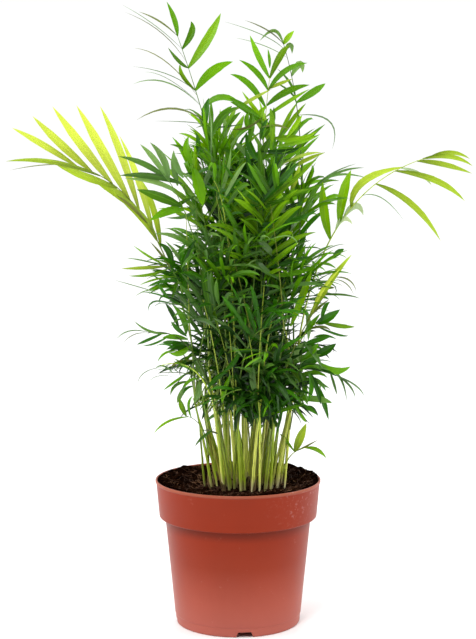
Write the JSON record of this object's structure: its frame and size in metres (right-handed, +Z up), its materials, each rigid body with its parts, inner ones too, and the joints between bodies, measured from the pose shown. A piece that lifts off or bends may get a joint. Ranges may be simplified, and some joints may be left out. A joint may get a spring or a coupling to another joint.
{
  "type": "potted parlour palm",
  "caption": "Bushy potted palm: a clump of slender upright stems with feathered fronds in a round plastic nursery pot with a collar, filled with soil.",
  "frame": {"origin": "middle of the pot's flat underside", "axes": "+Z up along the pot's axis and the stems; +X to the right and +Y away from the viewer, with the longest fronds to either side along X"},
  "size_m": [0.4598, 0.2296, 0.6402],
  "materials": {
    "pot": "satin terracotta-coloured plastic",
    "soil": "dark fibrous peat",
    "stem": "smooth pale green stalk",
    "leaf": "satin green leaf",
    "young_leaf": "satin yellow-green young leaf"
  },
  "bodies": {
    "root": {"pot": "pot", "soil": "soil", "stem_01": "stem", "stem_02": "stem", "stem_03": "stem", "stem_04": "stem", "stem_05": "stem", "stem_06": "stem", "stem_07": "stem", "stem_08": "stem", "stem_09": "stem", "stem_10": "stem", "stem_11": "stem", "stem_12": "stem", "stem_13": "stem", "stem_14": "stem", "stem_15": "stem", "stem_16": "stem", "stem_17": "stem", "stem_18": "stem", "stem_19": "stem", "stem_20": "stem", "stem_21": "stem", "stem_22": "stem", "stem_23": "stem", "stem_24": "stem", "stem_25": "stem", "stem_26": "stem", "stem_27": "stem", "stem_28": "stem", "fronds_01": "leaf", "fronds_02": "leaf", "fronds_03": "leaf", "fronds_04": "leaf", "fronds_05": "leaf", "fronds_06": "leaf", "fronds_07": "leaf", "fronds_08": "leaf", "fronds_09": "leaf", "fronds_10": "leaf", "fronds_11": "leaf", "fronds_12": "leaf", "fronds_13": "leaf", "fronds_14": "leaf", "fronds_15": "leaf", "fronds_16": "leaf", "fronds_17": "leaf", "fronds_18": "young_leaf", "fronds_19": "leaf", "fronds_20": "leaf", "fronds_21": "leaf", "fronds_22": "leaf", "fronds_23": "leaf", "fronds_24": "leaf", "fronds_25": "leaf", "fronds_26": "leaf", "fronds_27": "leaf", "fronds_28": "leaf"}
  },
  "joints": []
}
